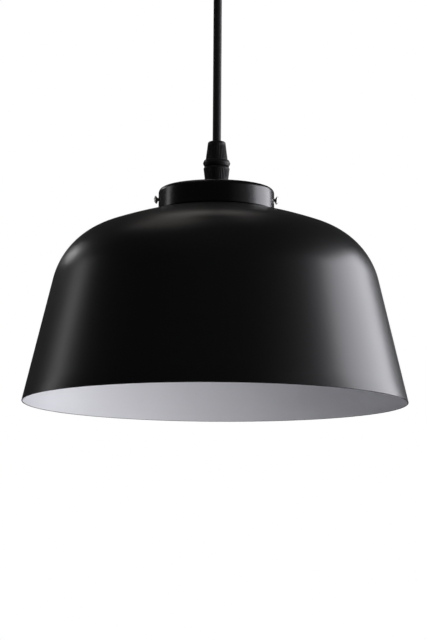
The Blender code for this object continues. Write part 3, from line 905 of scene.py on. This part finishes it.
# ---------------------------------------------------------------- cord grips
SPIGOT_RADIUS = 0.0062
SPIGOT_PITCH = 0.0015
SPIGOT_THREAD = 0.0006  # depth of the thread
GRIP_RIBS = 40
CAP_RIBS = 36
COLLET_SLITS = 6
RIB_DEPTH = 0.00055
RIB_STEPS = 7  # steps of the turned wall for each rib


def grip_body_outline():
    """Heights run from the cup's face to the mouth, as in every outline of the grip."""
    base = [(0.0053, 0.0003, 0), (0.0092, 0.0003, 0.0007), (0.0093, 0.0050, 0), (0.0094, 0.0087, 0)]
    flare = run((0.0094, 0.0090), (0.0102, 0.0155), 12)
    shoulder = [
        (0.0102, 0.0155, 0),
        (0.0103, 0.0163, 0.0006),
        (0.0096, 0.0176, 0.0005),
        (0.0066, 0.0176, 0),
    ]
    spigot = run((SPIGOT_RADIUS, 0.0181), (SPIGOT_RADIUS, 0.0276), 38)
    mouth = [
        (SPIGOT_RADIUS, 0.0276),
        (0.0058, 0.0278),
        (0.0042, 0.0278),
        (0.0040, 0.0276),
        (0.0040, 0.0150),
        (0.0053, 0.0140),
    ]
    return [*rounded(base, 4), *flare, *rounded(shoulder, 4), *spigot, *mouth]


def grip_cap_outline():
    """A smooth bead, a tapering wall and a rounded mouth."""
    bead = rounded(
        [
            (0.0067, 0.0180, 0.0002),
            (0.0096, 0.0180, 0.0007),
            (0.0108, 0.0204, 0.0014),
            (0.0098, 0.0230, 0.0007),
            (0.0087, 0.0230, 0.0002),
        ],
        6,
    )
    cone = run((0.0087, 0.0233), (0.0072, 0.0350), 20)
    mouth = rounded(
        [
            (0.0072, 0.0350, 0),
            (0.0069, 0.0380, 0.0019),
            (0.0040, 0.0380, 0.0006),
            (0.0040, 0.0358, 0.0002),
            (0.0067, 0.0336, 0.0002),
            (0.0067, 0.0330, 0),
        ],
        6,
    )
    return [*bead[1:], *cone, *mouth, (0.0067, 0.0182)]


def make_grip(prefix, face, way):
    """A ribbed body, a rubber collet and a ribbed cap. way is -1 for the grip under the canopy."""

    def at(height):
        return face + way * height

    body = turned(placed(grip_body_outline(), face, way), GRIP_RIBS * RIB_STEPS)
    cut_ribs(body, GRIP_RIBS, RIB_DEPTH, at(0.0078), at(0.0160), 0.0090)
    spigot_walls = (SPIGOT_RADIUS, SPIGOT_RADIUS - SKIN)
    cut_thread(body, SPIGOT_PITCH, SPIGOT_THREAD, at(0.0180), at(0.0281), *spigot_walls)
    finished(prefix + "_grip_body", body, "black_plastic")
    cap = turned(placed(grip_cap_outline(), face, way), CAP_RIBS * RIB_STEPS)
    cut_ribs(cap, CAP_RIBS, RIB_DEPTH, at(0.0234), at(0.0352), 0.0068)
    finished(prefix + "_grip_cap", cap, "black_plastic")
    collet = rounded(
        [
            (0.0038, 0.0282, 0.0002),
            (0.0060, 0.0282, 0.0002),
            (0.0063, 0.0290, 0.0003),
            (0.0063, 0.0332, 0.0004),
            (0.0043, 0.0350, 0.0003),
            (0.0038, 0.0350, 0.0002),
        ],
        3,
    )
    shape = turned(placed(collet, face, way), 96)
    cut_ribs(shape, COLLET_SLITS, 0.0007, at(0.0276), at(0.0356), 0.0042, 0.0002)
    finished(prefix + "_collet", shape, "rubber")


make_grip("lower", FITTER_TOP, 1)
make_grip("upper", CANOPY_FLOOR, -1)


# ---------------------------------------------------------------- ceiling fittings
BRACKET_SHEET = 0.0015
BRACKET_FOLD = 0.0022
SLOT_X = 0.029
SLOT_LENGTH = 0.0120
SLOT_WIDTH = 0.0042
TAPPED_HOLE = 0.0017
EARTH_X = -0.0150


def slot_tool(length, width, depth):
    """A round-ended slot along X."""
    x, y = length / 2, width / 2
    return flat(rounded([(-x, -y, y), (x, -y, y), (x, y, y), (-x, y, y)], 8), depth)


def make_bracket():
    """A strap folded down at both ends, with slots for the ceiling's screws and tapped holes."""
    reach, width = high("ceiling_bracket")[:2]
    drop = -low("ceiling_bracket")[2]
    inner = BRACKET_FOLD - BRACKET_SHEET
    outline = rounded(
        [
            (-reach, -drop, 0),
            (-reach, 0, BRACKET_FOLD),
            (reach, 0, BRACKET_FOLD),
            (reach, -drop, 0),
            (reach - BRACKET_SHEET, -drop, 0),
            (reach - BRACKET_SHEET, -BRACKET_SHEET, inner),
            (-reach + BRACKET_SHEET, -BRACKET_SHEET, inner),
            (-reach + BRACKET_SHEET, -drop, 0),
        ],
        6,
    )
    shape = moved(flat(outline, 2 * width), Matrix.Rotation(math.pi / 2, 4, "X"))
    tools = [moved(drum(TAPPED_HOLE, HOLE_TOOL, 32), Matrix.Translation((EARTH_X, 0, 0)))]
    for side, _ in SIDES:
        slot = slot_tool(SLOT_LENGTH, SLOT_WIDTH, 0.01)
        tools.append(moved(slot, Matrix.Translation((side * SLOT_X, 0, 0))))
        hole_place = facing((1, 0, 0), (side * reach, 0, CANOPY_SCREW_Z))
        tools.append(moved(drum(TAPPED_HOLE, HOLE_TOOL, 32), hole_place))
        for end in (-1, 1):
            corner = moved(block((0.010, 0.004, 0.004)), Matrix.Rotation(math.radians(45), 4, "X"))
            tools.append(moved(corner, Matrix.Translation((side * reach, end * width, -drop))))
    shape = carve(shape, *tools)
    soften(shape, sharp_edges(shape, 60), 0.00012, 1)
    finished("ceiling_bracket", shape, "zinc")


def make_terminal_block():
    """Three moulded poles on a common base, each with a brass tube."""
    lowest, highest = low("terminal_block"), high("terminal_block")
    centre = (lowest + highest) / 2
    size = highest - lowest
    pitch, bore, well, well_x = 0.0052, 0.0015, 0.0014, 0.0048
    sleeve_bore, sleeve_radius, sleeve_edge = 0.00118, 0.00142, 0.0001
    half = size.x / 2 - 0.0025
    shape = block(size, 0.0004, 3)
    tools = []
    for pole in (-1, 0, 1):
        tools.append(moved(drum(bore, 0.03, 32), facing((1, 0, 0), (0, pole * pitch, 0))))
        for row in (-1, 1):
            place = Matrix.Translation((row * well_x, pole * pitch, -size.z / 2))
            tools.append(moved(drum(well, 0.0080, 32), place))
    for gap in (-0.5, 0.5):
        for level in (-1, 1):
            place = Matrix.Translation((0, gap * pitch, level * size.z / 2))
            tools.append(moved(block((0.03, 0.0007, 0.0036)), place))
        tools.append(moved(drum(0.0009, 0.02, 24), Matrix.Translation((0, gap * pitch, 0))))
    for end in (-1, 1):
        place = Matrix.Translation((end * size.x / 2, 0, -size.z / 2))
        tools.append(moved(block((0.0030, 0.03, 0.0040)), place))
    shape = carve(shape, *tools)
    soften(shape, sharp_edges(shape, 60), 0.00008, 1)
    corners = [
        (sleeve_bore, -half, sleeve_edge),
        (sleeve_radius, -half, sleeve_edge),
        (sleeve_radius, half, sleeve_edge),
        (sleeve_bore, half, sleeve_edge),
    ]
    for pole in (-1, 0, 1):
        sleeve = turned(rounded(corners, 2), 24)
        moved(sleeve, facing((1, 0, 0), (0, pole * pitch, 0)))
        mesh = bpy.data.meshes.new("sleeve")
        for face in sleeve.faces:
            face.material_index = 1
        sleeve.to_mesh(mesh)
        sleeve.free()
        shape.from_mesh(mesh)
    moved(shape, Matrix.Translation(centre))
    finished("terminal_block", shape, "nylon", [FINISHES["brass"]])


def make_terminal_screws():
    """The six slotted screws that stand in the block's wells."""
    for number in range(1, 7):
        node = f"terminal_screw_{number}"
        lowest, highest = low(node), high(node)
        radius, length = (highest.x - lowest.x) / 2, highest.z - lowest.z
        head = [(0, 0), (radius * 0.8, 0), (radius, -radius * 0.25)]
        shape = screw_shape(head, radius, length, slot_recess(radius, 0.0004, 0.0007), 32)
        place = ((lowest.x + highest.x) / 2, (lowest.y + highest.y) / 2, lowest.z)
        finished(node, moved(shape, facing((0, 0, -1), place)), "zinc")


make_bracket()
make_terminal_block()
make_terminal_screws()
small_screw(
    "bracket_earth_screw",
    (EARTH_X, 0, -BRACKET_SHEET - GAP),
    head_radius=0.0032,
    head_height=0.0018,
    shank_radius=0.0014,
    length=0.0012,
    direction=(0, 0, -1),
)


# ---------------------------------------------------------------- lampholder
HOLDER_TOP = high("holder_cap")[2]
SKIRT_TOP = high("holder_skirt")[2]
INSERT_TOP = high("holder_insert")[2]
SHELL_TOP = high("screw_shell")[2]
LAMP_PITCH = 0.00363  # the E27 thread
TERMINAL_X = 0.0098
TERMINAL_DEPTH = 0.0045
WELL_RADIUS = 0.0024
SKIRT_RIBS = 36
SHELL_RADIUS = 0.0139
SHELL_SHEET = 0.0004
SHELL_ROWS = 54


def make_holder_cap():
    """The metal cap that screws onto the lower nipple."""
    outline = rounded(
        [
            (CENTRE_HOLE, 0, 0.0002),
            (0.0085, 0, 0.0006),
            (0.0090, -0.0055, 0.0015),
            (0.0140, -0.0085, 0.0030),
            (0.0182, -0.0130, 0.0040),
            (0.0195, -0.0190, 0.0030),
            (0.0195, -0.0255, 0.0003),
            (0.0182, -0.0255, 0.0002),
            (0.0182, -0.0190, 0.0020),
            (0.0170, -0.0138, 0.0030),
            (0.0130, -0.0100, 0.0020),
            (CENTRE_HOLE, -0.0085, 0.0002),
        ],
        6,
    )
    finished("holder_cap", turned(placed(outline, HOLDER_TOP), 144), "gloss_enamel")


def make_holder_skirt():
    """The ribbed skirt, which flares at its foot."""
    top = [(0.0184, -0.0010, 0), (0.0184, 0, 0.0002), (0.0195, 0, 0.0004), (0.0195, -0.0025, 0)]
    outline = [
        *rounded(top, 4)[1:],
        *run((0.0195, -0.0028), (0.0195, -0.0222), 20),
        *rounded(
            [
                (0.0195, -0.0222, 0),
                (0.0195, -0.0240, 0.0010),
                (0.0208, -0.0262, 0.0008),
                (0.0208, -0.0300, 0.0008),
                (0.0168, -0.0300, 0.0005),
                (0.0168, -0.0010, 0.0002),
                (0.0184, -0.0010, 0),
            ],
            5,
        )[1:],
    ]
    shape = turned(placed(outline, SKIRT_TOP), SKIRT_RIBS * 8)
    cut_ribs(shape, SKIRT_RIBS, 0.00045, SKIRT_TOP - 0.0030, SKIRT_TOP - 0.0220, 0.0190, 0.0010)
    finished("holder_skirt", shape, "black_plastic")


def make_holder_insert():
    """The ceramic insert, with a well and a wire slot for each terminal."""
    outline = rounded(
        [
            (0, 0, 0),
            (0.0165, 0, 0.0006),
            (0.0165, -0.0058, 0.0002),
            (0.0179, -0.0058, 0.0003),
            (0.0179, -0.0075, 0.0003),
            (0.0165, -0.0075, 0.0002),
            (0.0165, -0.0100, 0.0010),
            (0.0120, -0.0118, 0.0015),
            (0, -0.0118, 0),
        ],
        4,
    )
    tools = []
    for side in (-1, 1):
        tools.append(moved(drum(WELL_RADIUS, 0.012, 32), Matrix.Translation((side * TERMINAL_X, 0, 0))))
        tools.append(moved(block((0.010, 0.0026, 0.0060)), Matrix.Translation((side * 0.0148, 0, 0))))
        for end in (-1, 1):
            notch = Matrix.Translation((side * 0.0095, end * 0.0105, -0.0050))
            tools.append(moved(drum(0.0016, 0.030, 24), notch))
    shape = carve(turned(outline, 96), *tools)
    finished("holder_insert", moved(shape, Matrix.Translation((0, 0, INSERT_TOP))), "ceramic")


def make_screw_shell():
    """Thin brass rolled into the lamp thread, so that its inner and outer walls wave together."""
    length = SHELL_TOP - low("screw_shell")[2]
    inner_radius = SHELL_RADIUS - SHELL_SHEET
    outer = run((SHELL_RADIUS, 0), (SHELL_RADIUS, -length), SHELL_ROWS)
    inner = run((inner_radius, -length), (inner_radius, 0), SHELL_ROWS)
    outline = [*outer, (SHELL_RADIUS, -length), *inner, (inner_radius, 0)]
    shape = turned(placed(outline, SHELL_TOP), 96)
    start, end = SHELL_TOP - 0.0015, SHELL_TOP - length + 0.0010
    cut_thread(shape, LAMP_PITCH, 0.0010, start, end, SHELL_RADIUS, inner_radius)
    finished("screw_shell", shape, "brass")


def make_centre_contact():
    """A sprung tongue, riveted at one end and dished where the bulb presses on it."""
    sheet, bend, end, width = 0.0004, 0.0006, 0.00015, 0.0038
    top = [
        (-0.0064, -0.0004, end),
        (-0.0032, -0.0004, bend),
        (0.0003, -0.0035, bend),
        (0.0030, -0.0035, end),
    ]
    under = [(x - 0.0001, z - sheet, radius) for x, z, radius in reversed(top)]
    tongue = flat(rounded([*top, *under], 4), width)
    moved(tongue, Matrix.Rotation(math.pi / 2, 4, "X"))
    rivet_hole = moved(drum(0.0009, 0.01, 24), Matrix.Translation((-0.0048, 0, 0)))
    shape = carve(tongue, rivet_hole)
    soften(shape, sharp_edges(shape, 60), 0.00006, 1)
    finished("centre_contact", moved(shape, Matrix.Translation((0, 0, SHELL_TOP + 0.0007))), "brass")


make_holder_cap()
make_holder_skirt()
make_holder_insert()
make_screw_shell()
make_centre_contact()
for terminal_side, terminal in ((-1, "neutral"), (1, "live")):
    small_screw(
        "holder_terminal_" + terminal,
        (terminal_side * TERMINAL_X, 0, INSERT_TOP - TERMINAL_DEPTH),
        head_radius=0.0021,
        head_height=0.0014,
        shank_radius=0.0013,
        length=0.0010,
    )
small_screw(
    "holder_earth_screw",
    (0, 0.0160, HOLDER_TOP - 0.0158),
    head_radius=0.0016,
    head_height=0.0010,
    shank_radius=0.0010,
    length=0.0006,
    direction=(0, -1, 0),
)


# ---------------------------------------------------------------- bulb
BULB_TOP = high("bulb_contact")[2]
BULB_RADIUS = high("bulb_globe")[0]
BULB_LENGTH = BULB_TOP - low("bulb_globe")[2]


SCREW_CAP_RADIUS = 0.0130
CRIMPS = 8
GLOBE_STEPS = 28
TURNED_BULB_PIECES = (  # node, finish, steps of the spin, steps of a rounded corner, corners
    (
        "bulb_contact",
        "zinc",
        64,
        6,
        [
            (0, 0, 0),
            (0.0030, 0, 0.0012),
            (0.0046, -0.0012, 0.0004),
            (0.0046, -0.0016, 0.0001),
            (0, -0.0016, 0),
        ],
    ),
    (
        "bulb_insulator",
        "black_glass",
        96,
        6,
        [
            (0, -0.0019, 0),
            (0.0055, -0.0019, 0.0006),
            (0.0062, -0.0030, 0.0006),
            (0.0100, -0.0044, 0.0006),
            (0.0100, -0.0052, 0.0002),
            (0, -0.0052, 0),
        ],
    ),
    (
        "bulb_housing",
        "white_plastic",
        144,
        8,
        [
            (0, -0.0268, 0),
            (0.0140, -0.0268, 0.0003),
            (0.0142, -0.0300, 0.0020),
            (0.0185, -0.0400, 0.0200),
            (0.0250, -0.0530, 0.0300),
            (0.0285, -0.0620, 0.0120),
            (0.0290, -0.0660, 0.0003),
            (0, -0.0660, 0),
        ],
    ),
)


def make_screw_cap():
    """The threaded cap, crimped onto the housing at its foot."""
    shoulder = [
        (0.0103, -0.0055, 0),
        (0.0107, -0.0062, 0.0006),
        (0.0120, -0.0070, 0.0008),
        (SCREW_CAP_RADIUS, -0.0082, 0),
    ]
    foot = [
        (SCREW_CAP_RADIUS, -0.0238, 0),
        (SCREW_CAP_RADIUS, -0.0248, 0.0006),
        (0.0135, -0.0265, 0.0003),
        (0, -0.0265, 0),
    ]
    outline = [
        (0, -0.0055),
        (0.0103, -0.0055),
        *rounded(shoulder, 5)[1:-1],
        *run((SCREW_CAP_RADIUS, -0.0082), (SCREW_CAP_RADIUS, -0.0238), 40),
        *rounded(foot, 4),
    ]
    shape = turned(placed(outline, BULB_TOP), 96)
    limits = (BULB_TOP - 0.0066, BULB_TOP - 0.0245)
    cut_thread(shape, LAMP_PITCH, 0.0011, *limits, SCREW_CAP_RADIUS, SCREW_CAP_RADIUS - SKIN, 0.0010)

    def crimp(radius, angle, z):
        if radius < 0.012:
            return 0
        dent = max(0.0, math.cos(CRIMPS * angle)) ** 6
        return -0.0004 * dent * between(BULB_TOP - 0.0264, BULB_TOP - 0.0244, 0.0008, z)

    finished("bulb_screw_cap", reshape(shape, crimp), "nickel")


def make_globe():
    """A round globe with a collar where it meets the housing."""
    top = high("bulb_globe")[2] - BULB_TOP
    equator = BULB_RADIUS - BULB_LENGTH
    start = math.asin((top - equator) / BULB_RADIUS)
    dome = []
    for i in range(GLOBE_STEPS + 1):
        angle = start - (start + math.pi / 2) * i / GLOBE_STEPS
        dome.append((BULB_RADIUS * math.cos(angle), equator + BULB_RADIUS * math.sin(angle)))
    dome[-1] = (0, -BULB_LENGTH)
    collar = [(0, top), (dome[0][0] - 0.0007, top), (dome[0][0] - 0.0003, top - 0.0003)]
    finished("bulb_globe", turned(placed([*collar, *dome[1:]], BULB_TOP), 144), "opal")


for bulb_node, bulb_slot, bulb_steps, arcs, bulb_corners in TURNED_BULB_PIECES:
    bulb_outline = placed(rounded(bulb_corners, arcs), BULB_TOP)
    finished(bulb_node, turned(bulb_outline, bulb_steps), bulb_slot)
make_screw_cap()
make_globe()


# ---------------------------------------------------------------- solids that keep their shape
for kept_slot, kept_nodes in (
    ("cord_sheath", ("cord_ceiling_end", "cord_pendant_end")),
    ("core_brown", ("core_live_top", "core_live")),
    ("core_blue", ("core_neutral_top", "core_neutral")),
    ("core_green", ("core_earth_top", "core_earth")),
):
    for node in kept_nodes:
        kept = frame["nodes"][node]
        kept.data.materials.clear()
        kept.data.materials.append(FINISHES[kept_slot])


# ---------------------------------------------------------------- stage and light
SHADE_MIDDLE = Vector((0, 0, RIM + 0.06))
WARM = (1.0, 0.94, 0.90)
COOL = (0.94, 0.94, 1.0)
KEY_EDGES = ((77, 0.45, 0.90), (60, 0.50, 0.26), (42, 0.50, 0.10))  # azimuth, width and glow
WORLD_LIGHT = 0.035
FLOOR = -2.4
FLOOR_RADIUS = 9
FLOOR_TONE = 0.82


def soft_light(name, place, size, glow, colour=(1, 1, 1), glossy=True):
    """A softbox that faces the shade. glow is how bright its face is, and the background is 1."""
    lamp = bpy.data.lights.new(name, "AREA")
    lamp.shape = "RECTANGLE"
    lamp.size, lamp.size_y = size
    lamp.energy = glow * math.pi * size[0] * size[1]
    lamp.color = colour
    made = bpy.data.objects.new(name, lamp)
    bpy.context.scene.collection.objects.link(made)
    made.location = place
    made.rotation_euler = (SHADE_MIDDLE - place).to_track_quat("-Z", "Y").to_euler()
    made.visible_camera = False
    made.visible_glossy = glossy


def around(azimuth, elevation, distance):
    """A place round the shade. Azimuth 0 is in front, and 90 is on the right."""
    a, e = math.radians(azimuth), math.radians(elevation)
    direction = Vector((math.sin(a) * math.cos(e), -math.cos(a) * math.cos(e), math.sin(e)))
    return SHADE_MIDDLE + distance * direction


def make_world():
    """White where the camera sees it, and dim where the lamp does."""
    world = bpy.data.worlds.new("studio")
    bpy.context.scene.world = world
    world.use_nodes = True
    tree = world.node_tree
    tree.nodes.clear()
    output = tree.nodes.new("ShaderNodeOutputWorld")
    path = tree.nodes.new("ShaderNodeLightPath")
    mix = tree.nodes.new("ShaderNodeMixShader")
    tree.links.new(path.outputs["Is Camera Ray"], mix.inputs[0])
    for socket, level in ((1, WORLD_LIGHT), (2, 1.0)):
        background = tree.nodes.new("ShaderNodeBackground")
        background.inputs["Color"].default_value = (level, level, level, 1)
        tree.links.new(background.outputs[0], mix.inputs[socket])
    tree.links.new(mix.outputs[0], output.inputs["Surface"])


def make_floor():
    """A plain pale floor, which stays pale where the lights don't reach it."""
    bpy.ops.mesh.primitive_circle_add(
        vertices=96, radius=FLOOR_RADIUS, fill_type="NGON", location=(0, 0, FLOOR)
    )
    floor = bpy.context.object
    floor.name = "floor"
    paint = bpy.data.materials.new("floor_paint")
    paint.use_nodes = True
    nodes, links = paint.node_tree.nodes, paint.node_tree.links
    shader = nodes["Principled BSDF"]
    shader.inputs["Base Color"].default_value = (0.85, 0.85, 0.85, 1)
    shader.inputs["Roughness"].default_value = 0.8
    glow = nodes.new("ShaderNodeEmission")
    glow.inputs["Color"].default_value = (FLOOR_TONE, FLOOR_TONE, FLOOR_TONE, 1)
    path = nodes.new("ShaderNodeLightPath")
    mix = nodes.new("ShaderNodeMixShader")
    links.new(path.outputs["Is Camera Ray"], mix.inputs[0])
    links.new(shader.outputs[0], mix.inputs[1])
    links.new(glow.outputs[0], mix.inputs[2])
    links.new(mix.outputs[0], nodes["Material Output"].inputs["Surface"])
    floor.data.materials.append(paint)


make_world()
make_floor()
soft_light("key", around(108, 7, 1.5), (1.4, 1.4), 5.2, COOL)
for number, (azimuth, width, glow) in enumerate(KEY_EDGES):
    soft_light(f"key_edge_{number}", around(azimuth, 7, 1.5), (width, 1.3), glow, COOL)
soft_light("left_strip", around(-110, 8, 1.5), (0.28, 1.1), 1.8)
soft_light("top_glow", around(208, 71, 1.6), (1.0, 0.75), 0.50, WARM)
soft_light("crown_glow", around(184, 58, 1.6), (0.6, 0.22), 0.75, WARM)
soft_light("shoulder_spot", around(221, 26, 1.64), (0.18, 0.18), 6.8)
soft_light("top_fill", around(-10, 60, 1.8), (1.2, 1.2), 3, glossy=False)
soft_light("inside_fill", around(60, -26, 1.8), (1.2, 1.2), 3.5, glossy=False)
soft_light("underside_fill", around(-10, -75, 1.8), (1.6, 1.6), 0.12, glossy=False)
bpy.context.scene.view_settings.view_transform = "Standard"
